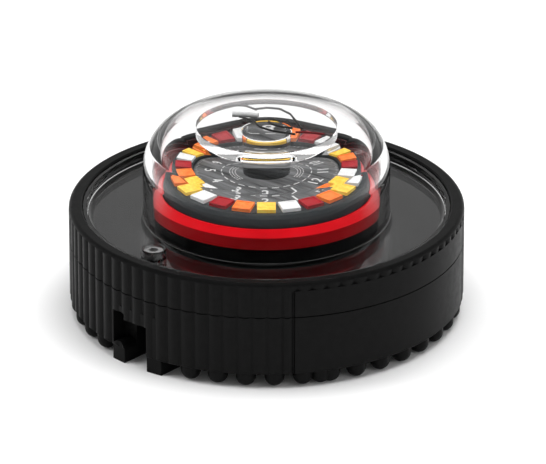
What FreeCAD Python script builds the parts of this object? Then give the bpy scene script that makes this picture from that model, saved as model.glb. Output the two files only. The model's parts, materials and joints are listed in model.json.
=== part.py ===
import FreeCAD
import Part
import math
import os
import Sketcher

# A low-profile LED warning beacon with a clear dome, built the way it comes apart on a bench.
# Frame: millimetres, +Z up, origin at the centre of the base on the surface it stands on.
# The cable slot is at -Y. Angles are degrees from +X, counter-clockwise seen from above.

doc = FreeCAD.newDocument("beacon")
sheet = doc.addObject("Spreadsheet::Sheet", "dims")


class Size:
    """A length or angle that carries its value and the sheet expression that gives it."""

    def __init__(self, value, text):
        self.value = float(value)
        self.text = text

    def combined(self, other, sign, swap=False):
        other = as_size(other)
        first, second = (other, self) if swap else (self, other)
        results = {
            "+": first.value + second.value,
            "-": first.value - second.value,
            "*": first.value * second.value,
        }
        return Size(results[sign], f"({first.text} {sign} {second.text})")

    def __add__(self, other):
        return self.combined(other, "+")

    def __radd__(self, other):
        return self.combined(other, "+", swap=True)

    def __sub__(self, other):
        return self.combined(other, "-")

    def __rsub__(self, other):
        return self.combined(other, "-", swap=True)

    def __mul__(self, other):
        return self.combined(other, "*")

    def __rmul__(self, other):
        return self.combined(other, "*", swap=True)

    def __neg__(self):
        return Size(-self.value, f"(-{self.text})")


def as_size(number):
    return number if isinstance(number, Size) else Size(number, f"{float(number):g}")


sheet_rows = []


def size(alias, value, meaning):
    """Put one driving dimension in the sheet and return it."""
    sheet_rows.append(alias)
    row = len(sheet_rows)
    sheet.set(f"A{row}", alias)
    sheet.set(f"B{row}", f"{value:g}")
    sheet.set(f"C{row}", meaning)
    sheet.setAlias(f"B{row}", alias)
    return Size(value, f"dims.{alias}")


# ---------------------------------------------------------------- driving dimensions

outer_r = size("outer_r", 52.0, "radius over the rib crests")
groove_r = size("groove_r", 51.45, "radius at the bottom of the grooves")
skirt_z = size("skirt_z", 4.0, "lower edge of the housing skirt")
seam_z = size("seam_z", 20.0, "where housing and bezel meet")
rim_z = size("rim_z", 29.6, "top of the bezel")
rim_inner_r = size("rim_inner_r", 48.5, "inner radius of the bezel's lip")
panel_top_z = size("panel_top_z", 27.4, "top of the plain panel on the bezel")

foot_r = size("foot_r", 2.6, "radius of a rounded foot")
foot_ring_r = size("foot_ring_r", 49.1, "radius of the ring of feet")
floor_z = size("floor_z", 6.5, "top of the housing floor")
cavity_r = size("cavity_r", 44.5, "radius of the cavity in the housing")
tray_seat_r = size("tray_seat_r", 46.0, "radius of the step that holds the tray")
tray_seat_z = size("tray_seat_z", 21.4, "height of the step that holds the tray")
spigot_r = size("spigot_r", 48.6, "outer radius of the spigot inside the bezel")
spigot_z = size("spigot_z", 23.0, "top of the spigot")

slot_half = size("slot_half", 3.85, "half the width of the cable slot")
slot_top_z = size("slot_top_z", 12.5, "top of the cable slot")
slot_end = size("slot_end", 37.0, "distance from the axis to the slot's inner end")
slot_wall = size("slot_wall", 4.5, "thickness of the slot's side walls")
stub_z = size("stub_z", 5.7, "top of the short wall beside the slot")
cable_z = size("cable_z", 8.4, "height of the cable's axis")

lug_reach_r = size("lug_reach_r", 49.7, "outer radius of the housing's bayonet lugs")
recess_r = size("recess_r", 50.0, "radius of the recess inside the bezel")
lug_tip_r = size("lug_tip_r", 48.9, "inner radius of the bezel's bayonet lugs")
fit_gap = size("fit_gap", 0.2, "gap between parts that turn past each other")

magnet_r = size("magnet_r", 24.6, "radius of the magnet cup")
magnet_top_z = size("magnet_top_z", 9.0, "top of the magnet cup")
pad_thick = size("pad_thick", 1.0, "thickness of the rubber pad under the magnet")

board_z = size("board_z", 15.0, "underside of the driver board")
board_thick = size("board_thick", 1.6, "thickness of a circuit board")
board_r = size("board_r", 36.5, "radius of the driver board")
board_hole_r = size("board_hole_r", 8.0, "hole in the middle of the driver board")

flange_z = size("flange_z", 26.7, "top of the lens flange")
flange_bottom_z = size("flange_bottom_z", 23.6, "underside of the lens flange")
flange_r = size("flange_r", 49.6, "radius of the lens flange")
lens_r = size("lens_r", 32.5, "outer radius of the lens column and dome")
lens_bore_r = size("lens_bore_r", 30.1, "inner radius of the lens column")
dome_z = size("dome_z", 39.4, "height where the dome starts to curve")
dome_rise = size("dome_rise", 16.4, "rise of the dome's outside")
dome_side_r = size("dome_side_r", 13.2, "radius of the dome's side curve, outside")
hollow_side_r = size("hollow_side_r", 10.8, "radius of the hollow's lower curve")
hollow_shoulder_r = size("hollow_shoulder_r", 8.5, "radius of the hollow's upper curve")
hollow_shoulder_at_r = size("hollow_shoulder_at_r", 20.5, "radius at which the upper curve is centred")
hollow_shoulder_z = size("hollow_shoulder_z", 42.7, "height of the upper curve's centre")

pedestal_r = size("pedestal_r", 29.8, "radius of the black pedestal")
ring_z = size("ring_z", 29.6, "underside of the red ring")
ring_top_z = size("ring_top_z", 34.5, "top of the red ring")
ring_inner_r = size("ring_inner_r", 27.6, "inner radius of the red ring")

carrier_r = size("carrier_r", 27.4, "radius of the LED carrier")
disc_r = size("disc_r", 19.8, "radius of the printed disc")
disc_z = size("disc_z", 36.6, "top of the printed disc")
deck_z = size("deck_z", 35.6, "floor of the LED carrier, under the printed disc")
led_seat_z = size("led_seat_z", 37.7, "top of the LED board")
led_ring_r = size("led_ring_r", 22.7, "radius of the ring of LEDs")
led_side = size("led_side", 4.75, "side of a square LED")
led_thick = size("led_thick", 0.9, "height of a LED")

guide_r = size("guide_r", 18.5, "radius of the light guide's disc")
guide_z = size("guide_z", 48.3, "underside of the light guide's disc")
guide_thick = size("guide_thick", 2.7, "thickness of the light guide's disc")
guide_post_r = size("guide_post_r", 6.3, "radius of the light guide's post")

lens_screw_ring_r = size("lens_screw_ring_r", 40.9, "radius of the two lens screws")
pedestal_screw_ring_r = size("pedestal_screw_ring_r", 33.2, "radius of the ring of pedestal screws")
board_screw_ring_r = size("board_screw_ring_r", 29.0, "radius of the ring of driver board screws")
carrier_screw_ring_r = size("carrier_screw_ring_r", 22.5, "radius of the ring of carrier screws")

RIB_COUNT = 84
RIB_PITCH = 360.0 / RIB_COUNT
RIB_PHASE = 0.55            # the first rib stands this far from the slot's centre line
SLOT_ANGLE = -90.0
PANEL_START = 48.7          # grooves that bound the plain panel, from the slot
PANEL_END = 121.4
LED_COUNT = 24
FIRST_LED_ANGLE = -49.0
LED_COLOURS = ("yellow", "white", "red", "orange")
ODD_FOOT = 57.4             # one extra foot, from the slot
LUG_COUNT = 6
LUG_WIDTH = 12.0
TWIST = 15.0                # the bezel's turn from locked to free
LENS_SCREW_ANGLES = (-94.5, 85.5)
PEDESTAL_SCREW_ANGLES = (30.0, 150.0, 295.0)
BOARD_SCREW_ANGLES = (0.0, 120.0, 240.0)
CARRIER_SCREW_ANGLES = (60.0, 180.0, 300.0)


# ---------------------------------------------------------------- building blocks

def bind(thing, **properties):
    """Bind properties of an object to sheet expressions. Placement parts use x, y, z."""
    for name, value in properties.items():
        path = f".Placement.Base.{name}" if name in ("x", "y", "z") else name
        thing.setExpression(path, as_size(value).text)
    return thing


def box(name, x0, x1, y0, y1, z0, z1):
    block = doc.addObject("Part::Box", name)
    return bind(block, Length=x1 - x0, Width=y1 - y0, Height=z1 - z0, x=x0, y=y0, z=z0)


def cylinder(name, radius, z0, z1, x=0.0, y=0.0):
    drum = doc.addObject("Part::Cylinder", name)
    return bind(drum, Radius=radius, Height=z1 - z0, x=x, y=y, z=z0)


def tube(name, outer, inner, z0, z1):
    return cut(name, cylinder(f"{name}_outer", outer, z0, z1),
               cylinder(f"{name}_bore", inner, z0 - 1, z1 + 1))


def sector(name, inner, outer, z0, z1, start, end):
    """A piece of a ring between two angles."""
    pie = doc.addObject("Part::Cylinder", f"{name}_pie")
    bind(pie, Radius=outer, Height=z1 - z0, z=z0)
    pie.Angle = end - start
    pie.Placement.Rotation = FreeCAD.Rotation(FreeCAD.Vector(0, 0, 1), start)
    return cut(name, pie, cylinder(f"{name}_core", inner, z0 - 1, z1 + 1))


def fuse(name, *pieces):
    whole = doc.addObject("Part::MultiFuse", name)
    whole.Shapes = list(pieces)
    whole.Refine = True
    return whole


def cut(name, base, *tools):
    result = doc.addObject("Part::Cut", name)
    result.Base = base
    result.Tool = tools[0] if len(tools) == 1 else fuse(f"{name}_tools", *tools)
    return result


def common(name, first, second):
    result = doc.addObject("Part::Common", name)
    result.Base = first
    result.Tool = second
    return result


def group(name, *pieces):
    """Separate solids that share one node."""
    result = doc.addObject("Part::Compound", name)
    result.Links = list(pieces)
    return result


def made(name, shape):
    """A feature whose shape comes straight from Part's own functions."""
    feature = doc.addObject("Part::Feature", name)
    feature.Shape = shape
    return feature


def around(name, seed, angles, x=0.0, y=0.0):
    """Copies of a seed turned about the vertical axis through x, y."""
    doc.recompute()
    centre = FreeCAD.Vector(x, y, 0)
    turned_copies = [seed.Shape.rotated(centre, FreeCAD.Vector(0, 0, 1), angle) for angle in angles]
    return made(name, Part.makeCompound(turned_copies))


def point_at(x, y, z):
    return FreeCAD.Vector(as_size(x).value, as_size(y).value, as_size(z).value)


def polar(radius, angle, z=0.0):
    turn = math.radians(angle)
    return point_at(radius * math.cos(turn), radius * math.sin(turn), z)


def origin_plane(body, role):
    return next(feature for feature in body.Origin.OriginFeatures if feature.Role == role)


def rounded(centre_r, centre_z):
    """An outline edge that runs to the next point as an arc about a centre."""
    def edge(start, end):
        centre = FreeCAD.Vector(as_size(centre_r).value, as_size(centre_z).value, 0)
        radius = (start - centre).Length
        middle = ((start - centre) + (end - centre)).normalize()
        return Part.Arc(start, centre + middle * radius, end)
    return edge


def outline_sketch(body, name, outline):
    """Draw a closed outline of (radius, height[, edge to the next point]) on the XZ plane."""
    sketch = body.newObject("Sketcher::SketchObject", name)
    sketch.AttachmentSupport = [(origin_plane(body, "XZ_Plane"), "")]
    sketch.MapMode = "FlatFace"
    corners = [(as_size(row[0]), as_size(row[1])) for row in outline]
    points = [FreeCAD.Vector(r.value, z.value, 0) for r, z in corners]
    edges = [row[2] if len(row) > 2 else None for row in outline]
    ends = []
    for number, edge in enumerate(edges):
        start = points[number]
        end = points[(number + 1) % len(points)]
        curve = edge(start, end) if edge else Part.LineSegment(start, end)
        index = sketch.addGeometry(curve, False)
        forward = (sketch.getPoint(index, 1) - start).Length < 1e-6
        ends.append((index, 1 if forward else 2, 2 if forward else 1))
        if edge is not None:
            sketch.addConstraint(Sketcher.Constraint("Block", index))
    for number, (index, first, last) in enumerate(ends):
        after = ends[(number + 1) % len(ends)]
        straight = edges[number] is None
        straight_after = edges[(number + 1) % len(ends)] is None
        if straight or straight_after:
            sketch.addConstraint(Sketcher.Constraint("Coincident", index, last, after[0], after[1]))
        before_straight = edges[number - 1] is None
        if straight and before_straight:
            pin_corner(sketch, index, first, corners[number])
    return sketch


def pin_corner(sketch, index, point, corner):
    """Hold one corner of an outline at its sheet sizes."""
    axes = (("DistanceX", corner[0], -2), ("DistanceY", corner[1], -1))
    for kind, length, axis in axes:
        if length.value == 0:
            sketch.addConstraint(Sketcher.Constraint("PointOnObject", index, point, axis))
            continue
        number = sketch.addConstraint(
            Sketcher.Constraint(kind, -1, 1, index, point, length.value))
        sketch.setExpression(f"Constraints[{number}]", length.text)


def turned(name, outline):
    """A PartDesign body made by turning an outline about the vertical axis."""
    body = doc.addObject("PartDesign::Body", name)
    sketch = outline_sketch(body, f"{name}_outline", outline)
    revolution = body.newObject("PartDesign::Revolution", f"{name}_turn")
    revolution.Profile = sketch
    revolution.ReferenceAxis = (sketch, ["V_Axis"])
    revolution.Angle = 360.0
    body.Tip = revolution
    return body


def screw(name, x, y, head_z, head_r, head_thick, shank_r, shank_length, key_r, downward=True):
    """A cap screw with a hexagon socket, its head's bearing face at head_z."""
    direction = 1 if downward else -1
    low_head = head_z if downward else head_z - head_thick
    low_shank = head_z - shank_length if downward else head_z
    head = cylinder(f"{name}_head", head_r, low_head, low_head + head_thick, x, y)
    shank = cylinder(f"{name}_shank", shank_r, low_shank, low_shank + shank_length, x, y)
    socket = doc.addObject("Part::Prism", f"{name}_socket")
    socket.Polygon = 6
    socket.Circumradius = key_r
    socket_depth = head_thick * 0.6
    socket_low = head_z + direction * head_thick - (socket_depth if downward else 0)
    bind(socket, Height=socket_depth, x=x, y=y, z=socket_low)
    return cut(name, fuse(f"{name}_blank", head, shank), socket)


# ---------------------------------------------------------------- fluted outside

def groove_angles(with_panel):
    """Directions of the grooves, from +X, with or without the plain panel's gap."""
    angles = [RIB_PITCH * (number + 0.5) + RIB_PHASE for number in range(RIB_COUNT)]
    if with_panel:
        outside = [a for a in angles if a < PANEL_START - RIB_PITCH / 2 or a > PANEL_END + RIB_PITCH / 2]
        angles = sorted(outside + [PANEL_START, PANEL_END])
    return [angle + SLOT_ANGLE for angle in angles]


def fluted_prism(name, z0, z1, with_panel):
    """A solid drum whose outside is a ring of rounded ribs, with an optional plain panel."""
    floor = as_size(z0).value
    half_groove = 0.12
    grooves = groove_angles(with_panel)
    edges = []
    for number, angle in enumerate(grooves):
        following = grooves[(number + 1) % len(grooves)] + (360 if number + 1 == len(grooves) else 0)
        start = angle + half_groove
        end = following - half_groove
        left = polar(groove_r.value, start, floor)
        right = polar(groove_r.value, end, floor)
        if end - start > 2 * RIB_PITCH:
            shoulder = 0.35
            left_crest = polar(outer_r.value, start + shoulder, floor)
            right_crest = polar(outer_r.value, end - shoulder, floor)
            middle = polar(outer_r.value, (start + end) / 2, floor)
            edges.append(Part.makeLine(left, left_crest))
            edges.append(Part.Arc(left_crest, middle, right_crest).toShape())
            edges.append(Part.makeLine(right_crest, right))
        else:
            crest = polar(outer_r.value, (start + end) / 2, floor)
            edges.append(Part.Arc(left, crest, right).toShape())
        edges.append(Part.makeLine(right, polar(groove_r.value, following + half_groove, floor)))
    face = Part.Face(Part.Wire(edges))
    return made(name, face.extrude(FreeCAD.Vector(0, 0, as_size(z1).value - floor)))


# ---------------------------------------------------------------- housing and bezel

def housing_feet():
    """Rounded rib ends, on every second rib except at the cable slot, plus one odd one."""
    angles = [2 * RIB_PITCH * number + RIB_PHASE for number in range(2, RIB_COUNT // 2 - 1)]
    foot_top = skirt_z + 1.5
    seed = fuse("foot_seed", sphere("foot_ball", foot_r, foot_ring_r, foot_r),
                cylinder("foot_pin", foot_r, foot_r, foot_top, foot_ring_r))
    return [around("housing_feet", seed, [angle + SLOT_ANGLE for angle in angles]),
            around("housing_odd_foot", seed, [ODD_FOOT + SLOT_ANGLE])]


def sphere(name, radius, x, z):
    ball = doc.addObject("Part::Sphere", name)
    return bind(ball, Radius=radius, x=x, z=z)


def housing_lugs():
    """Bayonet lugs on the spigot, each with a locked stop and a free stop."""
    half = LUG_WIDTH / 2
    lug_z = seam_z + 1.6
    lug = sector("spigot_lug", spigot_r - 0.5, lug_reach_r, lug_z, spigot_z, -half - 3, half)
    locked = sector("spigot_stop", spigot_r - 0.5, lug_reach_r, seam_z, lug_z, -half - 3, -half - 0.5)
    free = sector("spigot_free_stop", spigot_r - 0.5, lug_reach_r, seam_z, spigot_z,
                  half + TWIST + 0.5, half + TWIST + 3)
    seed = fuse("spigot_lug_seed", lug, locked, free)
    return around("spigot_lugs", seed, lug_angles())


def lug_angles():
    return [360.0 / LUG_COUNT * (number + 0.5) for number in range(LUG_COUNT)]


def slot_block():
    """The walls and roof that keep the cable slot apart from the cavity."""
    side = slot_half + slot_wall
    outside = box("slot_block_body", -side, side, -(outer_r + 1), -(slot_end - 2.5), 0,
                  slot_top_z + 3.4)
    envelope = cylinder("slot_block_envelope", foot_ring_r + foot_r, 0, slot_top_z + 3.4)
    return common("slot_block", outside, envelope)


def lower_housing():
    skin = fluted_prism("housing_fluting", skirt_z, seam_z, True)
    bevel = 0.4
    envelope = turned("housing_envelope", [
        (0, skirt_z), (outer_r - bevel, skirt_z), (outer_r, skirt_z + bevel),
        (outer_r, seam_z - 0.1), (outer_r - 0.7, seam_z), (0, seam_z)])
    shell = common("housing_shell", skin, envelope)
    spigot = cylinder("spigot", spigot_r, seam_z - 1, spigot_z)
    body = fuse("housing_body", shell, spigot, *housing_feet(), housing_lugs())

    recess_top = magnet_top_z
    pocket_r = magnet_r + 0.4
    cavity = cylinder("cavity", cavity_r, floor_z, spigot_z + 1)
    seat = cylinder("tray_seat", tray_seat_r, tray_seat_z, spigot_z + 1)
    hollowed = cut("housing_hollowed", body, cavity, seat)

    magnet_wall = cylinder("magnet_wall", pocket_r + 2.4, skirt_z, recess_top + 2.4)
    bosses = [cylinder("magnet_boss", 5.0, recess_top, board_z + 1.0)]
    bosses.append(around("pedestal_bosses",
                         cylinder("pedestal_boss", 3.4, floor_z - 1, 18.4, pedestal_screw_ring_r),
                         PEDESTAL_SCREW_ANGLES))
    lens_boss = cylinder("lens_boss_seed", 3.2, floor_z - 1, tray_seat_z, lens_screw_ring_r)
    bosses.append(around("lens_bosses", lens_boss, LENS_SCREW_ANGLES))
    board_boss = cylinder("board_boss_seed", 2.9, floor_z - 1, board_z - 3.0, board_screw_ring_r)
    bosses.append(around("board_bosses", board_boss, BOARD_SCREW_ANGLES))
    clamp_bosses = [cylinder(f"clamp_boss_{side:+d}", 2.6, floor_z - 1, cable_z - 0.6, side * 7.4, -31.2)
                    for side in (-1, 1)]
    filled = fuse("housing_filled", hollowed, magnet_wall, slot_block(), *bosses, *clamp_bosses)

    slot = box("slot_cut", -slot_half, slot_half, -(outer_r + 2), -slot_end, -1, slot_top_z)
    side_cut = box("slot_side_cut", -(slot_half + slot_wall - 0.4), -slot_half + 0.01,
                   -(outer_r + 2), -(outer_r - 5.2), stub_z - slot_wall * 0.5, slot_top_z + 1.7)
    stub_round = slot_stub()
    side_open = cut("slot_side_open", side_cut, stub_round)
    pocket = cylinder("magnet_pocket", pocket_r, -1, recess_top)
    entry = across("cable_hole", 4.0, cable_z, -(slot_end + 1), -(slot_end - 4))
    vent = cylinder("vent_hole", 3.0, 0, floor_z + 1, -36.0, 12.0)
    holes = [
        cylinder("magnet_screw_hole", 2.1, recess_top - 1, board_z),
        around("pedestal_holes", cylinder("pedestal_hole", 1.25, 9.0, 19.0, pedestal_screw_ring_r),
               PEDESTAL_SCREW_ANGLES),
        around("lens_holes", cylinder("lens_hole", 1.25, 12.0, tray_seat_z + 1, lens_screw_ring_r),
               LENS_SCREW_ANGLES),
        around("board_holes", cylinder("board_hole", 1.25, floor_z, board_z, board_screw_ring_r),
               BOARD_SCREW_ANGLES),
    ]
    for side in (-1, 1):
        holes.append(cylinder(f"clamp_hole_{side:+d}", 0.95, floor_z - 1.6, cable_z, side * 7.4, -31.2))
    return cut("lower_housing", filled, slot, side_open, pocket, entry, vent, *holes)


def slot_stub():
    """The round-topped short wall that stays beside the slot."""
    half = slot_wall * 0.5
    middle = -(slot_half + half)
    post = box("stub_post", -(slot_half + slot_wall), -slot_half + 0.02, -(outer_r + 3),
               -(outer_r - 6), -1, stub_z - half)
    crown = doc.addObject("Part::Cylinder", "stub_crown")
    bind(crown, Radius=half, Height=9.0, x=middle, y=-(outer_r + 3), z=stub_z - half)
    crown.Placement.Rotation = FreeCAD.Rotation(FreeCAD.Vector(1, 0, 0), -90)
    return fuse("slot_stub", post, crown)


def across(name, radius, z, y0, y1, x=0.0):
    """A cylinder that lies along Y."""
    drum = doc.addObject("Part::Cylinder", name)
    bind(drum, Radius=radius, Height=y1 - y0, x=x, y=y0, z=z)
    drum.Placement.Rotation = FreeCAD.Rotation(FreeCAD.Vector(1, 0, 0), -90)
    return drum


def upper_bezel():
    wall = fluted_prism("bezel_fluting", seam_z + 0.15, panel_top_z, True)
    brim_z = rim_z - 0.8
    top = fluted_prism("bezel_top_fluting", panel_top_z, brim_z, False)
    brim = cylinder("bezel_brim", outer_r, brim_z, rim_z)
    crown = 1.1
    lip_z = flange_z + fit_gap
    envelope = turned("bezel_envelope", [
        (recess_r, seam_z + 0.15), (outer_r - 0.7, seam_z + 0.15), (outer_r, seam_z + 0.2),
        (outer_r, rim_z - crown, rounded(outer_r - crown, rim_z - crown)),
        (outer_r - crown, rim_z), (rim_inner_r + 0.35, rim_z), (rim_inner_r, rim_z - 0.35),
        (rim_inner_r, lip_z), (recess_r, lip_z)])
    half = LUG_WIDTH / 2
    lug = sector("bezel_lug", lug_tip_r, recess_r + 0.4, seam_z + 0.15, seam_z + 1.4, -half, half)
    lugs = around("bezel_lugs", lug, lug_angles())
    ring = common("bezel_ring", fuse("bezel_blank", wall, top, brim), envelope)
    return fuse("upper_bezel", ring, lugs)


# ---------------------------------------------------------------- optics

def dome_curve(half_width, rise, side_r):
    """Where a dome's side curve runs into its flatter crown, and the crown's radius."""
    width, high, side = half_width.value, rise.value, side_r.value
    crown = (width * width - 2 * width * side + high * high) / (2 * (high - side))
    lean = math.acos((width - side) / (crown - side))
    joint_r = crown * math.cos(lean)
    joint_z = dome_z.value + high - crown + crown * math.sin(lean)
    return joint_r, joint_z, crown


def crossing(first_centre, first_r, second_centre, second_r):
    """The outer of the two points where two circles of a profile cross."""
    across_r = second_centre[0] - first_centre[0]
    across_z = second_centre[1] - first_centre[1]
    apart = math.hypot(across_r, across_z)
    along = (apart * apart + first_r * first_r - second_r * second_r) / (2 * apart)
    aside = math.sqrt(first_r * first_r - along * along)
    return (first_centre[0] + (along * across_r + aside * across_z) / apart,
            first_centre[1] + (along * across_z - aside * across_r) / apart)


def lens():
    foot = 0.5
    turn_up = 1.6
    crown_lean = math.radians(70)
    edge_r = rim_inner_r - 0.3
    top = dome_z + dome_rise
    joint_r, joint_z, crown = dome_curve(lens_r, dome_rise, dome_side_r)
    side_at = (lens_bore_r.value - hollow_side_r.value, dome_z.value)
    shoulder_at = (hollow_shoulder_at_r.value, hollow_shoulder_z.value)
    ridge_r, ridge_z = crossing(side_at, hollow_side_r.value, shoulder_at, hollow_shoulder_r.value)
    inner_r = shoulder_at[0] + hollow_shoulder_r.value * math.cos(crown_lean)
    inner_z = shoulder_at[1] + hollow_shoulder_r.value * math.sin(crown_lean)
    inner_crown = inner_r / math.cos(crown_lean)
    crown_z = inner_z - inner_crown * math.sin(crown_lean)
    shell = turned("lens_shell", [
        (lens_bore_r, flange_bottom_z), (flange_r, flange_bottom_z), (flange_r, flange_z),
        (edge_r, flange_z), (edge_r, rim_z - 0.6), (edge_r - 0.9, rim_z - 0.6),
        (edge_r - 0.9, flange_z + turn_up,
         rounded(edge_r - 0.9 - turn_up, flange_z + turn_up)),
        (edge_r - 0.9 - turn_up, flange_z),
        (lens_r + foot, flange_z, rounded(lens_r + foot, flange_z + foot)),
        (lens_r, flange_z + foot), (lens_r, dome_z, rounded(lens_r - dome_side_r, dome_z)),
        (joint_r, joint_z, rounded(0, top - crown)), (0, top),
        (0, crown_z + inner_crown, rounded(0, crown_z)),
        (inner_r, inner_z, rounded(*shoulder_at)), (ridge_r, ridge_z, rounded(*side_at)),
        (lens_bore_r, dome_z)])
    boss_top = rim_z - 0.4
    boss = cylinder("lens_boss", 3.3, flange_bottom_z + 1, boss_top, lens_screw_ring_r)
    bosses = around("lens_boss_pair", boss, LENS_SCREW_ANGLES)
    bore = fuse("lens_screw_bore",
                cylinder("lens_bore", 1.65, flange_bottom_z - 1, boss_top, lens_screw_ring_r),
                cylinder("lens_counterbore", 2.75, flange_z + 0.4, boss_top + 1, lens_screw_ring_r))
    bores = around("lens_screw_bores", bore, LENS_SCREW_ANGLES)
    return cut("lens", fuse("lens_blank", shell, bosses), bores)


def light_guide():
    foot = 0.6
    top = guide_z + guide_thick
    return turned("light_guide", [
        (0, disc_z), (guide_post_r, disc_z), (guide_post_r, guide_z - foot,
                                              rounded(guide_post_r + foot, guide_z - foot)),
        (guide_post_r + foot, guide_z), (guide_r, guide_z), (guide_r, top), (0, top)])


# ---------------------------------------------------------------- LED head

def pedestal():
    wall = 3.0
    return cut("pedestal", turned("pedestal_turning", [
        (pedestal_r - wall, 18.4), (36.4, 18.4), (36.4, 20.9), (pedestal_r, 20.9),
        (pedestal_r, ring_z), (16.0, ring_z), (16.0, ring_z - wall), (pedestal_r - wall, ring_z - wall)]),
        around("pedestal_screw_clearance",
               cylinder("pedestal_clearance", 1.5, 17.0, 22.0, pedestal_screw_ring_r),
               PEDESTAL_SCREW_ANGLES),
        around("lens_boss_clearance", cylinder("pedestal_relief", 4.0, 17.0, 22.0, lens_screw_ring_r),
               LENS_SCREW_ANGLES),
        around("carrier_holes", cylinder("carrier_clearance", 1.35, 25.0, 31.0, carrier_screw_ring_r),
               CARRIER_SCREW_ANGLES))


def red_ring():
    slope_high = 1.6
    slope_wide = 1.9
    return turned("red_ring", [
        (ring_inner_r, ring_z), (pedestal_r + 0.1, ring_z), (pedestal_r + 0.1, ring_top_z - slope_high),
        (pedestal_r + 0.1 - slope_wide, ring_top_z), (ring_inner_r, ring_top_z)])


def led_carrier():
    seat_r = 25.15
    blank = turned("carrier_turning", [
        (12.0, ring_z), (carrier_r, ring_z), (carrier_r, ring_top_z), (carrier_r - 0.6, led_seat_z - 0.9),
        (carrier_r - 1.1, led_seat_z - 0.1), (seat_r, led_seat_z - 0.1), (seat_r, deck_z), (0, deck_z),
        (0, deck_z - 3.0), (12.0, deck_z - 3.0)])
    return cut("led_carrier", blank,
               around("carrier_taps", cylinder("carrier_tap", 1.0, 28.0, 34.0, carrier_screw_ring_r),
                      CARRIER_SCREW_ANGLES),
               cylinder("carrier_wire_hole", 2.4, 31.0, 38.0, 9.5, 0))


def led_board():
    seat_r = 25.05
    return tube("led_board", seat_r, disc_r + 0.15, led_seat_z - board_thick, led_seat_z)


def leds(colour, first):
    """Every fourth LED of the ring: a square package with a shallow window."""
    half = led_side * 0.5
    package = box(f"{colour}_package", led_ring_r - half, led_ring_r + half, -half, half,
                  led_seat_z, led_seat_z + led_thick)
    window_half = 1.9
    top = led_seat_z + led_thick
    window = box(f"{colour}_window", led_ring_r - window_half, led_ring_r + window_half,
                 -window_half, window_half, top - 0.12, top + 1)
    seed = cut(f"{colour}_led_seed", package, window)
    step = 360.0 / LED_COUNT
    angles = [FIRST_LED_ANGLE + step * number for number in range(first, LED_COUNT, len(LED_COLOURS))]
    return around(f"{colour}_leds", seed, angles)


# ---------------------------------------------------------------- electronics

def driver_board():
    disc = tube("driver_board_disc", board_r, board_hole_r, board_z, board_z + board_thick)
    reliefs = [
        around("board_screw_holes",
               cylinder("board_screw_hole", 1.4, board_z - 1, board_z + 3, board_screw_ring_r),
               BOARD_SCREW_ANGLES),
        around("board_pedestal_reliefs",
               cylinder("board_pedestal_relief", 3.9, board_z - 1, board_z + 3, pedestal_screw_ring_r),
               PEDESTAL_SCREW_ANGLES),
        around("board_lens_reliefs",
               cylinder("board_lens_relief", 3.8, board_z - 1, board_z + 3, lens_screw_ring_r),
               LENS_SCREW_ANGLES),
        box("board_slot_relief", -(slot_half + slot_wall + 0.4), slot_half + slot_wall + 0.4, -40.0, -33.8,
            board_z - 1, board_z + 3),
    ]
    return cut("driver_board", disc, *reliefs)


def chips():
    top = board_z + board_thick
    chip = box("chip", 14.0, 19.0, -2.5, 2.5, top, top + 1.5)
    return around("driver_chips", chip, (45.0, 95.0, 200.0, 330.0))


def inductors():
    top = board_z + board_thick
    core = cut("inductor_seed", cylinder("inductor_core", 3.4, top, top + 1.75, 24.5),
               cylinder("inductor_dimple", 1.2, top + 1.2, top + 3, 24.5))
    return around("inductors", core, (70.0, 165.0, 222.0))


def capacitors():
    can = cylinder("capacitor_can", 3.1, board_z - 7.2, board_z, 31.2)
    return around("capacitors", can, (60.0, 85.0, 185.0, 210.0))


def terminal_block():
    body = box("terminal_body", -6.0, 6.0, -29.5, -23.4, board_z + board_thick, board_z + board_thick + 1.75)
    wells = [cylinder(f"terminal_well_{place}", 1.2, board_z + board_thick + 1.0, board_z + board_thick + 3,
                      place * 4.0, -26.4) for place in (-1, 0, 1)]
    return cut("terminal_block", body, *wells)


def standoffs():
    sleeve = cut("standoff_seed", cylinder("standoff_body", 2.4, board_z - 3.0, board_z, board_screw_ring_r),
                 cylinder("standoff_bore", 1.3, board_z - 4.0, board_z + 1, board_screw_ring_r))
    return around("board_standoffs", sleeve, BOARD_SCREW_ANGLES)


def screw_ring(name, radius, angles, *sizes, **options):
    return around(name, screw(f"{name}_seed", radius, 0.0, *sizes, **options), angles)


# ---------------------------------------------------------------- base, magnet and cable entry

def magnet_parts():
    cup_wall = 2.6
    inside_z = magnet_top_z - 2.2
    cup = cut("magnet_cup", cylinder("cup_blank", magnet_r, pad_thick, magnet_top_z),
              cylinder("cup_bore", magnet_r - cup_wall, pad_thick - 1, inside_z),
              cylinder("cup_screw_hole", 2.6, inside_z - 1, magnet_top_z + 1))
    ring = tube("ring_magnet", magnet_r - cup_wall - 0.3, 10.3, pad_thick, inside_z)
    pole = cut("pole_disc", cylinder("pole_blank", 9.6, pad_thick, inside_z),
               cylinder("pole_screw_hole", 2.6, pad_thick - 1, inside_z + 1),
               cylinder("pole_counterbore", 4.6, pad_thick - 1, pad_thick + 3.2))
    pad = cylinder("magnet_pad", magnet_r, 0, pad_thick)
    fixing = screw("magnet_screw", 0.0, 0.0, pad_thick + 3.2, 4.25, 2.9, 2.0, 10.5, 1.9, downward=False)
    return [cup, ring, pole, pad, fixing]


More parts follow.
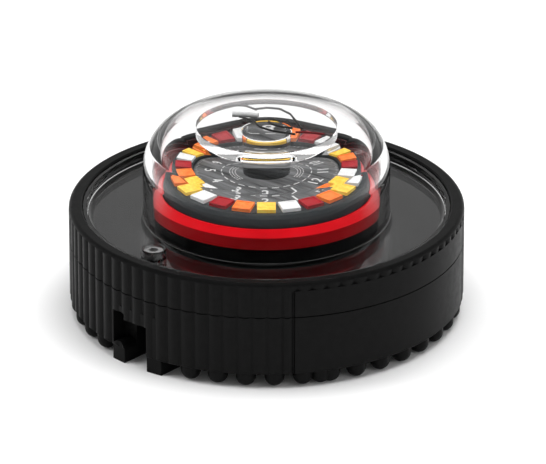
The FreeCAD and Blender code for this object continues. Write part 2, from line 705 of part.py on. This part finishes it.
def cable_grommet():
    """A rubber sleeve with a flange on each side of the slot's end wall."""
    front = -slot_end
    back = -(slot_end - 2.5)
    flange_front = across("grommet_front", 3.7, cable_z, front - 1.6, front)
    barrel = across("grommet_barrel", 3.95, cable_z, front, back)
    flange_back = across("grommet_back", 4.6, cable_z, back, back + 1.4)
    bore = across("grommet_bore", 2.9, cable_z, front - 3, back + 3)
    flat = box("grommet_flat", -6.0, 6.0, back - 0.01, back + 2, -1, floor_z + 0.02)
    return cut("cable_grommet", fuse("grommet_blank", flange_front, barrel, flange_back), bore, flat)


def cable_clamp():
    """The bridge that holds the cable behind the grommet."""
    base_z = cable_z - 0.6
    bridge = box("clamp_bridge", -10.2, 10.2, -33.0, -29.2, base_z, base_z + 1.6)
    hump = across("clamp_hump", 4.4, cable_z, -33.0, -29.2)
    hump_top = common("clamp_hump_top", hump, box("clamp_half", -6, 6, -34, -28, base_z, cable_z + 6))
    tunnel = across("clamp_tunnel", 3.1, cable_z, -36, -26)
    holes = [cylinder(f"clamp_screw_hole_{side:+d}", 1.2, base_z - 1, base_z + 3, side * 7.4, -31.2)
             for side in (-1, 1)]
    return cut("cable_clamp", fuse("clamp_blank", bridge, hump_top), tunnel, *holes)


def clamp_screws():
    pair = [screw(f"clamp_screw_{side:+d}", side * 7.4, -31.2, cable_z + 1.0, 1.9, 1.3, 0.9, 3.6, 0.8)
            for side in (-1, 1)]
    return group("clamp_screws", *pair)


def vent_plug():
    stem = cylinder("vent_stem", 2.95, skirt_z + 0.2, floor_z, -36.0, 12.0)
    cap = cylinder("vent_cap", 4.2, floor_z, floor_z + 1.6, -36.0, 12.0)
    port = cylinder("vent_port", 1.0, 0, floor_z + 0.8, -36.0, 12.0)
    return cut("vent_plug", fuse("vent_blank", stem, cap), port)


# ---------------------------------------------------------------- wires

def wire_path(points, bend):
    """Straight runs joined by tangent arcs through a list of corner points."""
    edges = []
    start = points[0]
    for before, corner, after in zip(points, points[1:], points[2:]):
        inward = (before - corner).normalize()
        outward = (after - corner).normalize()
        half_turn = inward.getAngle(outward) / 2
        reach = min(bend / math.tan(half_turn), 0.45 * min((before - corner).Length, (after - corner).Length))
        radius = reach * math.tan(half_turn)
        enter = corner + inward * reach
        leave = corner + outward * reach
        centre_way = (inward + outward).normalize()
        middle = corner + centre_way * (radius / math.sin(half_turn) - radius)
        edges.append(Part.makeLine(start, enter))
        edges.append(Part.Arc(enter, middle, leave).toShape())
        start = leave
    edges.append(Part.makeLine(start, points[-1]))
    return Part.Wire(edges)


def wire(name, points, radius, bend):
    corners = [point_at(*point) for point in points]
    path = wire_path(corners, bend)
    heading = corners[1] - corners[0]
    circle = Part.Wire([Part.makeCircle(radius, corners[0], heading)])
    return made(name, path.makePipeShell([circle], True, False))


def dome_leads():
    """Thin leads lying loose on the light guide under the dome."""
    top = guide_z + guide_thick
    low = top + 0.35
    routes = [
        [(-15.8, 0.4, low + 0.3), (-14.2, 3.2, low + 0.5), (-10.7, 4.1, low + 0.9), (-6.9, 3.9, low + 0.9)],
        [(-8.6, 5.3, low + 0.2), (-5.7, 6.8, low + 0.9), (-1.5, 7.0, low + 1.6), (3.3, 5.6, low + 1.9),
         (7.3, 3.5, low + 1.5), (10.4, 1.9, low + 0.9)],
        [(-8.4, -1.2, low + 0.1), (-3.3, -1.6, low + 0.7), (0.4, -3.4, low + 0.4), (4.1, -2.4, low),
         (7.3, -1.3, low), (10.1, -0.3, low)],
        [(-0.6, 1.6, low), (1.6, 0.5, low + 0.2), (4.1, 0.6, low + 0.2), (6.9, 2.4, low)],
    ]
    return group("dome_leads", *[wire(f"dome_lead_{number}", points, 0.28, 3.0)
                                 for number, points in enumerate(routes, start=1)])


def dome_lead_red():
    low = guide_z + guide_thick + 0.35
    return wire("dome_lead_red", [(9.3, 0.9, low), (11.4, 1.7, low + 0.3), (13.5, 2.9, low + 0.3),
                                  (15.8, 4.6, low)], 0.28, 3.0)


def lead_sleeve():
    """The shrunk sleeve where two of the leads are joined."""
    low = guide_z + guide_thick + 0.75
    return wire("lead_sleeve", [(-10.4, -1.7, low), (-7.4, 0.7, low), (-4.6, 2.0, low)], 0.7, 6.0)


def led_harness():
    """Leads from the driver board up through the pedestal to the LED board."""
    top = board_z + board_thick
    leads = []
    for number in range(3):
        angle = -12.0 + 12.0 * number
        low = polar(11.2, angle, top)
        high = polar(9.5, 0.0, deck_z.value - 0.2)
        side = (number - 1) * 1.2
        points = [tuple(low), tuple(low + FreeCAD.Vector(0, 0, 6)),
                  (high.x, side, 27.0), (high.x, side, high.z)]
        leads.append(wire(f"harness_lead_{number + 1}", points, 0.5, 4.0))
    return group("led_harness", *leads)


# ---------------------------------------------------------------- the assembly

def build():
    parts = [lower_housing(), upper_bezel(), lens(), light_guide(), pedestal(), red_ring(), led_carrier(),
             led_board()]
    parts.append(tube("thermal_pad", 25.0, disc_r + 0.2, deck_z, led_seat_z - board_thick))
    parts.append(cylinder("printed_disc", disc_r, deck_z, disc_z))
    parts += [leds(colour, number) for number, colour in enumerate(LED_COLOURS)]
    parts.append(tube("lens_seal", 48.4, 46.3, spigot_z, flange_bottom_z))
    tray = tube("tray_ring", tray_seat_r - 0.2, pedestal_r + 0.2, tray_seat_z, flange_bottom_z - 0.4)
    tray_holes = around("tray_holes", cylinder("tray_hole", 1.9, 20.0, 25.0, lens_screw_ring_r),
                        LENS_SCREW_ANGLES)
    parts.append(cut("inner_tray", tray, tray_holes))
    parts.append(screw_ring("lens_screws", lens_screw_ring_r, LENS_SCREW_ANGLES,
                            flange_z + 0.4, 2.6, 1.7, 1.2, 13.5, 1.3))
    parts += [driver_board(), chips(), inductors(), capacitors(), terminal_block(), standoffs()]
    parts.append(screw_ring("board_screws", board_screw_ring_r, BOARD_SCREW_ANGLES, board_z + board_thick,
                            2.3, 1.5, 1.2, 9.0, 1.1))
    parts.append(screw_ring("pedestal_screws", pedestal_screw_ring_r, PEDESTAL_SCREW_ANGLES,
                            20.9, 2.1, 0.45, 1.2, 10.0, 1.1))
    parts.append(screw_ring("carrier_screws", carrier_screw_ring_r, CARRIER_SCREW_ANGLES, ring_z - 3.0,
                            1.9, 1.6, 0.95, 7.0, 0.9, downward=False))
    parts += magnet_parts()
    parts += [cable_grommet(), cable_clamp(), clamp_screws(), vent_plug(), led_harness()]
    parts += [dome_leads(), dome_lead_red(), lead_sleeve()]
    return parts


def faults(parts):
    """Everything wrong with the document's objects and the sub-parts' shapes."""
    found = [f"{thing.Label}: {state}" for thing in doc.Objects for state in thing.State
             if state in ("Invalid", "Error")]
    for part in parts:
        if part.Shape.isNull() or not part.Shape.isValid() or not part.Shape.Solids:
            found.append(f"{part.Label}: bad shape")
    return found


parts = build()
doc.recompute()
problems = faults(parts)
if problems:
    raise RuntimeError("; ".join(problems))

os.makedirs("parts", exist_ok=True)
for part in parts:
    part.Shape.exportStep(f"parts/{part.Label}.step")
    solids = len(part.Shape.Solids)
    print(f"{part.Label}: {solids} solid(s), {part.Shape.Volume:.1f} mm3")
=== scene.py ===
import json
import math

import bmesh
import bpy
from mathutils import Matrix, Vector


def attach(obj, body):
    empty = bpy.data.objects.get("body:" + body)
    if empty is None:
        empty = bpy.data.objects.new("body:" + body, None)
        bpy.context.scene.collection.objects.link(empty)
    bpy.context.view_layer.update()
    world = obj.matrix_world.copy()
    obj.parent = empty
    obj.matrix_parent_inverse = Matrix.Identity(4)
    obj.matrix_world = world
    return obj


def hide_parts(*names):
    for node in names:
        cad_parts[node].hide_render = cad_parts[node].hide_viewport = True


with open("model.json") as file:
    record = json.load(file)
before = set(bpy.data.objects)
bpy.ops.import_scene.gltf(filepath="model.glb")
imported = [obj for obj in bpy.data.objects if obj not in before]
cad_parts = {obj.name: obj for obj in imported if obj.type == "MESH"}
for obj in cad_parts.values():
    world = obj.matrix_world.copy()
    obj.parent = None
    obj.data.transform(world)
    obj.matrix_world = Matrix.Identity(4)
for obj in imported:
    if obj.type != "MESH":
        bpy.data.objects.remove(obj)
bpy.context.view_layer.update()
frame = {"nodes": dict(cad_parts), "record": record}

MM = 0.001
BASE = "base"
VIEW_AZIMUTH = math.radians(41.0)       # the side the object is seen from, round from -Y towards +X
VIEW_ELEVATION = math.radians(24.3)


# ---------------------------------------------------------------- camera

def camera():
    """A long lens, so that the view is nearly parallel."""
    distance = 1.6
    frame_width = 143.8 * MM
    sensor = 36.0
    aim_right = 1.7 * MM
    aim_height = 20.9 * MM
    data = bpy.data.cameras.new("camera")
    data.type = "PERSP"
    data.sensor_width = sensor
    data.lens = sensor * distance / frame_width
    data.clip_start = 0.1
    data.clip_end = 20.0
    right = Vector((math.cos(VIEW_AZIMUTH), math.sin(VIEW_AZIMUTH), 0.0))
    back = Vector((math.sin(VIEW_AZIMUTH), -math.cos(VIEW_AZIMUTH), 0.0))
    towards = back * math.cos(VIEW_ELEVATION) + Vector((0, 0, 1)) * math.sin(VIEW_ELEVATION)
    aim = right * aim_right + Vector((0, 0, aim_height))
    view = bpy.data.objects.new("camera", data)
    view.location = aim + towards * distance
    view.rotation_euler = towards.to_track_quat("Z", "Y").to_euler()
    bpy.context.scene.collection.objects.link(view)
    bpy.context.scene.camera = view


# ---------------------------------------------------------------- light and floor

def area_light(name, place, aim, size, power):
    data = bpy.data.lights.new(name, "AREA")
    data.shape = "RECTANGLE"
    data.size, data.size_y = size
    data.energy = power
    lamp = bpy.data.objects.new(name, data)
    lamp.location = place
    lamp.rotation_euler = (Vector(place) - Vector(aim)).to_track_quat("Z", "Y").to_euler()
    bpy.context.scene.collection.objects.link(lamp)
    return lamp


def sky():
    """A room that is bright near the horizon and dim overhead."""
    world = bpy.data.worlds.new("studio")
    bpy.context.scene.world = world
    world.use_nodes = True
    tree = world.node_tree
    background = tree.nodes["Background"]
    direction = tree.nodes.new("ShaderNodeTexCoord")
    parts = tree.nodes.new("ShaderNodeSeparateXYZ")
    ramp = tree.nodes.new("ShaderNodeValToRGB")
    tree.links.new(direction.outputs["Generated"], parts.inputs["Vector"])
    tree.links.new(parts.outputs["Z"], ramp.inputs["Fac"])
    tree.links.new(ramp.outputs["Color"], background.inputs["Color"])
    background.inputs["Strength"].default_value = 1.0
    steps = ramp.color_ramp.elements
    steps[0].position, steps[0].color = 0.0, (0.95, 0.95, 0.95, 1.0)
    steps[1].position, steps[1].color = 1.0, (0.06, 0.06, 0.06, 1.0)
    for position, grey in ((0.3, 0.85), (0.43, 0.4), (0.56, 0.1), (0.85, 0.06)):
        step = steps.new(position)
        step.color = (grey, grey, grey, 1.0)


def studio():
    """Broad soft lights that aren't mirrored in the clear parts, and a white floor."""
    sky()
    for name, place, size, power in (
            ("light_top", (0.05, 0.1, 0.9), (0.7, 0.7), 9.5),
            ("light_left", (-0.6, -0.5, 0.6), (0.5, 0.5), 4.0),
            ("light_right", (0.8, 0.1, 0.5), (0.5, 0.5), 1.2)):
        lamp = area_light(name, place, (0, 0, 0.02), size, power)
        lamp.visible_glossy = False
        lamp.visible_transmission = False

    bpy.ops.mesh.primitive_plane_add(size=12.0, location=(0, 0, 0))
    floor = bpy.context.object
    floor.name = "floor"
    floor.data.materials.append(floor_material())


def render_look():
    scene = bpy.context.scene
    scene.view_settings.view_transform = "Standard"
    scene.cycles.use_denoising = True
    scene.cycles.max_bounces = 24
    scene.cycles.transmission_bounces = 20
    scene.cycles.glossy_bounces = 8
    scene.cycles.transparent_max_bounces = 24
    scene.cycles.caustics_reflective = False
    scene.cycles.caustics_refractive = False


# ---------------------------------------------------------------- materials

def new_material(name):
    material = bpy.data.materials.new(name)
    material.use_nodes = True
    tree = material.node_tree
    shader = tree.nodes["Principled BSDF"]
    return material, tree, shader


def floor_material():
    material, _, shader = new_material("floor_white")
    shader.inputs["Base Color"].default_value = (0.9, 0.9, 0.9, 1.0)
    shader.inputs["Roughness"].default_value = 0.7
    shader.inputs["Specular IOR Level"].default_value = 0.0
    return material


def node(tree, kind, **inputs):
    made = tree.nodes.new(kind)
    for name, value in inputs.items():
        made.inputs[name.replace("_", " ")].default_value = value
    return made


def noise(tree, scale, detail=4.0, roughness=0.6):
    """Noise over the object's own coordinates, its scale in patches per metre."""
    place = tree.nodes.new("ShaderNodeTexCoord")
    texture = node(tree, "ShaderNodeTexNoise", Scale=scale, Detail=detail, Roughness=roughness)
    tree.links.new(place.outputs["Object"], texture.inputs["Vector"])
    return texture.outputs["Fac"]


NOISE_LOW = 0.3         # the part of a noise texture's range that is used
NOISE_HIGH = 0.7


def mapped(tree, value, low, high):
    """A noise value spread over low to high."""
    spread = tree.nodes.new("ShaderNodeMapRange")
    tree.links.new(value, spread.inputs["Value"])
    spread.inputs["From Min"].default_value = NOISE_LOW
    spread.inputs["From Max"].default_value = NOISE_HIGH
    spread.inputs["To Min"].default_value = low
    spread.inputs["To Max"].default_value = high
    return spread.outputs["Result"]


def two_colours(tree, value, first, second):
    """A noise value turned into a blend of two colours."""
    ramp = tree.nodes.new("ShaderNodeValToRGB")
    tree.links.new(value, ramp.inputs["Fac"])
    ramp.color_ramp.elements[0].position = NOISE_LOW
    ramp.color_ramp.elements[1].position = NOISE_HIGH
    ramp.color_ramp.elements[0].color = (*first, 1.0)
    ramp.color_ramp.elements[1].color = (*second, 1.0)
    return ramp.outputs["Color"]


def bump(tree, shader, height, distance):
    node_bump = node(tree, "ShaderNodeBump", Strength=1.0, Distance=distance)
    tree.links.new(height, node_bump.inputs["Height"])
    tree.links.new(node_bump.outputs["Normal"], shader.inputs["Normal"])


def solid(name, first, second, roughness, patch_mm=2.0, grain_mm=0.25, grain_depth=0.01,
          metallic=0.0, specular=0.5, coat=0.0):
    """A moulded or painted surface: two close tones, a roughness that varies, and a fine grain."""
    material, tree, shader = new_material(name)
    patches = noise(tree, 1.0 / (patch_mm * MM))
    tree.links.new(two_colours(tree, patches, first, second), shader.inputs["Base Color"])
    tree.links.new(mapped(tree, patches, roughness[0], roughness[1]), shader.inputs["Roughness"])
    bump(tree, shader, noise(tree, 1.0 / (grain_mm * MM), 2.0), grain_depth * MM)
    shader.inputs["Metallic"].default_value = metallic
    shader.inputs["Specular IOR Level"].default_value = specular
    shader.inputs["Coat Weight"].default_value = coat
    return material


def brushed(name, dark, light):
    """Brushed metal: streaks along one direction, dark and light."""
    material, tree, shader = new_material(name)
    place = tree.nodes.new("ShaderNodeTexCoord")
    stretch = tree.nodes.new("ShaderNodeMapping")
    stretch.inputs["Rotation"].default_value = (0.0, 0.0, math.radians(-20.0))
    stretch.inputs["Scale"].default_value = (30.0, 420.0, 30.0)
    streaks = node(tree, "ShaderNodeTexNoise", Scale=1.0, Detail=6.0, Roughness=0.7)
    tree.links.new(place.outputs["Object"], stretch.inputs["Vector"])
    tree.links.new(stretch.outputs["Vector"], streaks.inputs["Vector"])
    tree.links.new(two_colours(tree, streaks.outputs["Fac"], dark, light), shader.inputs["Base Color"])
    tree.links.new(mapped(tree, streaks.outputs["Fac"], 0.3, 0.5), shader.inputs["Roughness"])
    bump(tree, shader, streaks.outputs["Fac"], 0.02 * MM)
    shader.inputs["Metallic"].default_value = 0.6
    return material


def clear(name, ior, shine=1.0):
    """Clear plastic that lets light from lamps through to what is inside. A shine under 1 mirrors less."""
    material, tree, shader = new_material(name)
    shader.inputs["Specular Tint"].default_value = (shine, shine, shine, 1.0)
    shader.inputs["Base Color"].default_value = (1.0, 1.0, 1.0, 1.0)
    shader.inputs["Transmission Weight"].default_value = 1.0
    shader.inputs["Roughness"].default_value = 0.0
    shader.inputs["IOR"].default_value = ior
    through = tree.nodes.new("ShaderNodeBsdfTransparent")
    path = tree.nodes.new("ShaderNodeLightPath")
    mix = tree.nodes.new("ShaderNodeMixShader")
    output = tree.nodes["Material Output"]
    tree.links.new(path.outputs["Is Shadow Ray"], mix.inputs[0])
    tree.links.new(shader.outputs["BSDF"], mix.inputs[1])
    tree.links.new(through.outputs["BSDF"], mix.inputs[2])
    tree.links.new(mix.outputs["Shader"], output.inputs["Surface"])
    return material


def phosphor(name, deep, bright, painted_glow):
    """A LED's coloured face: brighter patches in a deeper tone, brightened by a small painted glow
    (emission) that stands in for light falling on it.
    """
    material, tree, shader = new_material(name)
    patches = noise(tree, 1.0 / (1.6 * MM), 2.0)
    colour = two_colours(tree, patches, deep, bright)
    tree.links.new(colour, shader.inputs["Base Color"])
    tree.links.new(colour, shader.inputs["Emission Color"])
    # painted glow: emission in the face's own colour makes the unlit LED face brighter, as light falling
    # on it would
    shader.inputs["Emission Strength"].default_value = painted_glow
    shader.inputs["Roughness"].default_value = 0.35
    bump(tree, shader, noise(tree, 1.0 / (0.3 * MM), 2.0), 0.01 * MM)
    return material


MATERIALS = {
    "housing_plastic": lambda: solid("housing_plastic", (0.004, 0.004, 0.004), (0.006, 0.006, 0.006),
                                     (0.35, 0.45), specular=0.06),
    "bezel_plastic": lambda: solid("bezel_plastic", (0.004, 0.004, 0.004), (0.006, 0.006, 0.006),
                                   (0.35, 0.45), specular=0.06),
    "clear_lens": lambda: clear("clear_lens", 1.5, shine=0.25),
    "clear_guide": lambda: clear("clear_guide", 1.15),
    "black_pedestal": lambda: solid("black_pedestal", (0.001, 0.001, 0.001), (0.002, 0.002, 0.002),
                                    (0.5, 0.6), specular=0.0),
    "red_ring": lambda: solid("red_ring", (0.72, 0.004, 0.01), (0.82, 0.006, 0.014), (0.3, 0.4),
                              patch_mm=6.0, coat=0.6),
    "carrier_slate": lambda: solid("carrier_slate", (0.022, 0.027, 0.029), (0.028, 0.034, 0.037),
                                   (0.45, 0.6), specular=0.25),
    "board_slate": lambda: solid("board_slate", (0.028, 0.034, 0.036), (0.036, 0.043, 0.046),
                                 (0.4, 0.55)),
    "grey_pad": lambda: solid("grey_pad", (0.32, 0.33, 0.35), (0.38, 0.39, 0.4), (0.6, 0.8)),
    "printed_disc": lambda: brushed("printed_disc", (0.0, 0.0, 0.0), (0.42, 0.43, 0.44)),
    # the last number of each LED is the strength of its painted glow
    "led_yellow": lambda: phosphor("led_yellow", (0.95, 0.50, 0.03), (1.0, 0.72, 0.12), 0.25),
    "led_white": lambda: phosphor("led_white", (0.82, 0.82, 0.82), (0.95, 0.95, 0.95), 0.15),
    "led_red": lambda: phosphor("led_red", (0.32, 0.0, 0.005), (0.45, 0.0, 0.01), 0.08),
    "led_orange": lambda: phosphor("led_orange", (0.95, 0.16, 0.02), (1.0, 0.28, 0.05), 0.2),
    "seal_rubber": lambda: solid("seal_rubber", (0.012, 0.012, 0.012), (0.02, 0.02, 0.02), (0.6, 0.75)),
    "tray_black": lambda: solid("tray_black", (0.001, 0.001, 0.001), (0.002, 0.002, 0.002), (0.5, 0.6),
                                specular=0.0),
    "stainless": lambda: solid("stainless", (0.5, 0.5, 0.5), (0.65, 0.65, 0.65), (0.15, 0.3),
                               metallic=1.0),
    "board_green": lambda: solid("board_green", (0.01, 0.11, 0.04), (0.02, 0.16, 0.06), (0.3, 0.45)),
    "chip_black": lambda: solid("chip_black", (0.012, 0.012, 0.012), (0.02, 0.02, 0.02), (0.5, 0.6)),
    "ferrite": lambda: solid("ferrite", (0.03, 0.03, 0.032), (0.05, 0.05, 0.055), (0.6, 0.8)),
    "can_aluminium": lambda: solid("can_aluminium", (0.6, 0.6, 0.62), (0.75, 0.75, 0.77), (0.25, 0.4),
                                   metallic=1.0),
    "terminal_green": lambda: solid("terminal_green", (0.03, 0.28, 0.08), (0.05, 0.36, 0.12), (0.3, 0.4)),
    "brass": lambda: solid("brass", (0.6, 0.42, 0.14), (0.75, 0.55, 0.22), (0.2, 0.35), metallic=1.0),
    "zinc_steel": lambda: solid("zinc_steel", (0.45, 0.45, 0.47), (0.58, 0.58, 0.6), (0.3, 0.45),
                                metallic=1.0),
    "pad_rubber": lambda: solid("pad_rubber", (0.012, 0.012, 0.012), (0.02, 0.02, 0.02), (0.7, 0.85),
                                grain_mm=0.6, grain_depth=0.05),
    "black_nylon": lambda: solid("black_nylon", (0.012, 0.012, 0.012), (0.02, 0.02, 0.02), (0.45, 0.6)),
    "wire_black": lambda: solid("wire_black", (0.01, 0.01, 0.01), (0.02, 0.02, 0.02), (0.35, 0.5)),
    "wire_red": lambda: solid("wire_red", (0.16, 0.004, 0.008), (0.22, 0.006, 0.012), (0.35, 0.5)),
    "sleeve_clear": lambda: solid("sleeve_clear", (0.7, 0.7, 0.7), (0.8, 0.8, 0.8), (0.2, 0.35)),
}


def dress_cad_nodes():
    """Give every CAD node the material of its slot in the record."""
    made = {}
    for entry in frame["record"]["subparts"]:
        slot = entry["material_slot"]
        if slot not in made:
            made[slot] = MATERIALS[slot]()
        part = frame["nodes"][entry["node"]]
        part.data.materials.clear()
        part.data.materials.append(made[slot])
    return made


# ---------------------------------------------------------------- mesh tools

SHARP_ANGLE = math.radians(25.0)


def arc(centre, radius, start, end, step=2.0):
    """Points of an arc in a profile, from one angle to another, in degrees up from outwards."""
    count = max(2, int(abs(end - start) / step))
    return [(centre[0] + radius * math.cos(math.radians(start + (end - start) * i / count)),
             centre[1] + radius * math.sin(math.radians(start + (end - start) * i / count)))
            for i in range(count + 1)]


def lathe(profile, segments=360):
    """A mesh turned about the vertical axis from a profile of (radius, height) points in millimetres.
    Points on the axis become single vertices."""
    mesh = bmesh.new()
    rings = []
    for radius, height in profile:
        if radius < 1e-6:
            rings.append([mesh.verts.new((0, 0, height * MM))])
        else:
            rings.append([mesh.verts.new((radius * MM * math.cos(turn), radius * MM * math.sin(turn),
                                          height * MM))
                          for turn in (2 * math.pi * i / segments for i in range(segments))])
    pairs = list(zip(rings, rings[1:]))
    if len(rings[0]) > 1:
        pairs.append((rings[-1], rings[0]))
    for low, high in pairs:
        for i in range(segments):
            j = (i + 1) % segments
            corners = [low[i % len(low)], low[j % len(low)], high[j % len(high)], high[i % len(high)]]
            corners = [c for n, c in enumerate(corners) if c not in corners[:n]]
            if len(corners) > 2:
                mesh.faces.new(corners)
    bmesh.ops.recalc_face_normals(mesh, faces=mesh.faces)
    return mesh


def smoothed(mesh):
    """Smooth shading but for the edges sharper than the sharp angle."""
    for face in mesh.faces:
        face.smooth = True
    for edge in mesh.edges:
        edge.smooth = len(edge.link_faces) == 2 and edge.calc_face_angle() < SHARP_ANGLE


def finished(name, mesh, material):
    """An object from a bmesh."""
    smoothed(mesh)
    data = bpy.data.meshes.new(name)
    mesh.to_mesh(data)
    mesh.free()
    data.materials.append(material)
    made = bpy.data.objects.new(name, data)
    bpy.context.scene.collection.objects.link(made)
    return made


def combined(target, tool, operation):
    """The target's mesh joined with or cut by the tool, which is used up."""
    change = target.modifiers.new("change", "BOOLEAN")
    change.operation = operation
    change.solver = "EXACT"
    change.object = tool
    bpy.context.view_layer.update()
    result = bpy.data.meshes.new_from_object(target.evaluated_get(bpy.context.evaluated_depsgraph_get()))
    target.modifiers.clear()
    target.data = result
    bpy.data.objects.remove(tool)


def resharpened(made):
    """The same shading again, for a mesh that a boolean has changed."""
    mesh = bmesh.new()
    mesh.from_mesh(made.data)
    smoothed(mesh)
    mesh.to_mesh(made.data)
    mesh.free()


def moved(mesh, offset):
    bmesh.ops.translate(mesh, verts=mesh.verts, vec=Vector(offset))
    return mesh


# ---------------------------------------------------------------- the clear lens

LENS_SCREW_ANGLES = (-94.5, 85.5)
LENS_SCREW_RING = 40.9
COLUMN_R, BORE_R = 32.5, 30.1
FLANGE_R, FLANGE_LOW, FLANGE_TOP = 49.6, 23.6, 26.7
APEX = 55.8
SPRING = 39.4                   # height where the dome's sides leave the column
RIDGE = (28.798, 44.540)        # where the two curves of the hollow meet


def lens_profile():
    """The lens in section: flange, upturned edge, column, dome and the hollow inside."""
    side, foot, rise = 13.2, 0.5, APEX - SPRING
    crown = (COLUMN_R ** 2 - 2 * COLUMN_R * side + rise ** 2) / (2 * (rise - side))
    lean = math.degrees(math.acos((COLUMN_R - side) / (crown - side)))
    shoulder, shoulder_r = (20.5, 42.7), 8.5
    low_side, low_side_r = (19.3, SPRING), 10.8

    def ridge_lean(centre):
        return math.degrees(math.atan2(RIDGE[1] - centre[1], RIDGE[0] - centre[0]))

    inner_lean = 70.0
    inner_joint = (shoulder[0] + shoulder_r * math.cos(math.radians(inner_lean)),
                   shoulder[1] + shoulder_r * math.sin(math.radians(inner_lean)))
    inner_crown = inner_joint[0] / math.cos(math.radians(inner_lean))
    ceiling = inner_joint[1] - inner_crown * math.sin(math.radians(inner_lean)) + inner_crown
    section = [(BORE_R, FLANGE_LOW), (FLANGE_R, FLANGE_LOW), (FLANGE_R, FLANGE_TOP), (48.2, FLANGE_TOP),
               (48.2, 29.0), (47.3, 29.0)]
    section += arc((45.7, 28.3), 1.6, 0, -90)
    section += arc((COLUMN_R + foot, FLANGE_TOP + foot), foot, 270, 180, 10)
    section += arc((COLUMN_R - side, SPRING), side, 0, lean)
    section += arc((0, APEX - crown), crown, lean, 90, 1.5)[1:]
    section[-1] = (0, APEX)
    section += [(0, ceiling)]
    section += arc((0, ceiling - inner_crown), inner_crown, 90, inner_lean, 1.5)[1:]
    section += arc(shoulder, shoulder_r, inner_lean, ridge_lean(shoulder))[1:]
    section += arc(low_side, low_side_r, ridge_lean(low_side), 0)[1:]
    return section


def lens_piece():
    """The lens, drawn finer than its CAD node, with the two screw bosses and their bores."""
    made = finished("lens_piece", lathe(lens_profile()), materials["clear_lens"])
    for angle in LENS_SCREW_ANGLES:
        spot = (LENS_SCREW_RING * MM * math.cos(math.radians(angle)),
                LENS_SCREW_RING * MM * math.sin(math.radians(angle)), 0)
        for name, profile, operation in (
                ("boss", [(0, 24.6), (3.3, 24.6), (3.3, 29.0), (3.1, 29.2), (0, 29.2)], "UNION"),
                ("bore", [(0, 22.6), (1.65, 22.6), (1.65, 27.1), (2.75, 27.1), (2.75, 30.2), (0, 30.2)],
                 "DIFFERENCE")):
            tool = finished(name, moved(lathe(profile, 48), spot), materials["clear_lens"])
            combined(made, tool, operation)
    resharpened(made)
    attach(made, BASE)
    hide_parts("lens")


# ---------------------------------------------------------------- the light guide

DISC_TOP = 36.6                 # top of the printed disc, which the post stands on
GUIDE_POST_R, GUIDE_R = 6.3, 18.5
GUIDE_LOW, GUIDE_TOP = 48.3, 51.0

def guide_piece():
    """The clear light guide: a disc on a post."""
    fillet, bevel = 0.6, 0.15
    profile = [(0, DISC_TOP), (GUIDE_POST_R, DISC_TOP), (GUIDE_POST_R, GUIDE_LOW - fillet)]
    profile += arc((GUIDE_POST_R + fillet, GUIDE_LOW - fillet), fillet, 180, 90, 15)[1:]
    profile += [(GUIDE_R - bevel, GUIDE_LOW), (GUIDE_R, GUIDE_LOW + bevel), (GUIDE_R, GUIDE_TOP - bevel),
                (GUIDE_R - bevel, GUIDE_TOP), (0, GUIDE_TOP)]
    made = finished("guide_piece", lathe(profile, 256), materials["clear_guide"])
    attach(made, BASE)
    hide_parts("light_guide")


# ---------------------------------------------------------------- the print on the disc

PRINT_THICK = 0.04
TICK_COUNT = 96
NUMERAL_RING = 15.4


def ink():
    return solid("print_white", (0.78, 0.78, 0.78), (0.86, 0.86, 0.86), (0.45, 0.6), patch_mm=1.0)


def flat_bar(mesh, radius, angle, along, across):
    """A thin printed bar at a radius and angle, the first of its two sizes along the circle."""
    middle = Vector((radius * math.cos(math.radians(angle)), radius * math.sin(math.radians(angle)),
                     DISC_TOP))
    way = math.radians(angle + 90.0)
    long_side = Vector((math.cos(way), math.sin(way), 0)) * along * 0.5
    short_side = Vector((-math.sin(way), math.cos(way), 0)) * across * 0.5
    rise = Vector((0, 0, PRINT_THICK))
    corners = [middle + a * long_side + b * short_side for a, b in ((-1, -1), (1, -1), (1, 1), (-1, 1))]
    low = [mesh.verts.new(c * MM) for c in corners]
    high = [mesh.verts.new((c + rise) * MM) for c in corners]
    mesh.faces.new(list(reversed(low)))
    mesh.faces.new(high)
    for i in range(4):
        j = (i + 1) % 4
        mesh.faces.new((low[i], low[j], high[j], high[i]))


def dial_marks(white):
    """A scale round the disc's edge, short bars inside it and two arcs of fine lines."""
    mesh = bmesh.new()
    for number in range(TICK_COUNT):
        radius, length = (19.0, 0.9) if number % 4 == 0 else (19.15, 0.55)
        flat_bar(mesh, radius, 360.0 / TICK_COUNT * number, 0.16, length)
    for number in range(24):
        flat_bar(mesh, 12.1, 15.0 * number + 7.5, 2.0, 0.3)
    for start in (15.0, 195.0):
        for row in range(3):
            for number in range(9):
                flat_bar(mesh, 9.9 - 0.75 * row, start + 8.0 * number, 0.9, 0.22)
    made = finished("disc_marks", mesh, white)
    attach(made, BASE)


def dial_numerals(white):
    """The numbers 1 to 12 round the disc, their feet towards the centre."""
    for number in range(1, 13):
        curve = bpy.data.curves.new(f"numeral_{number}", "FONT")
        curve.body = str(number)
        curve.align_x = "CENTER"
        curve.align_y = "CENTER"
        curve.size = 4.4 * MM
        curve.offset = 0.06 * MM
        curve.extrude = PRINT_THICK * 0.5 * MM
        curve.space_character = 1.05
        text = bpy.data.objects.new(f"numeral_{number}", curve)
        bpy.context.scene.collection.objects.link(text)
        angle = math.radians(-30.0 * number + 10.0)
        text.location = (NUMERAL_RING * MM * math.cos(angle), NUMERAL_RING * MM * math.sin(angle),
                         (DISC_TOP + PRINT_THICK * 0.5) * MM)
        text.rotation_euler = (0, 0, angle + math.radians(90.0))
        bpy.context.view_layer.update()
        data = bpy.data.meshes.new_from_object(text.evaluated_get(bpy.context.evaluated_depsgraph_get()))
        made = bpy.data.objects.new(f"numeral_mesh_{number}", data)
        made.matrix_world = text.matrix_world
        bpy.context.scene.collection.objects.link(made)
        bpy.data.objects.remove(text)
        data.materials.clear()
        data.materials.append(white)
        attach(made, BASE)


camera()
studio()
render_look()
materials = dress_cad_nodes()
lens_piece()
guide_piece()
white = ink()
dial_marks(white)
dial_numerals(white)
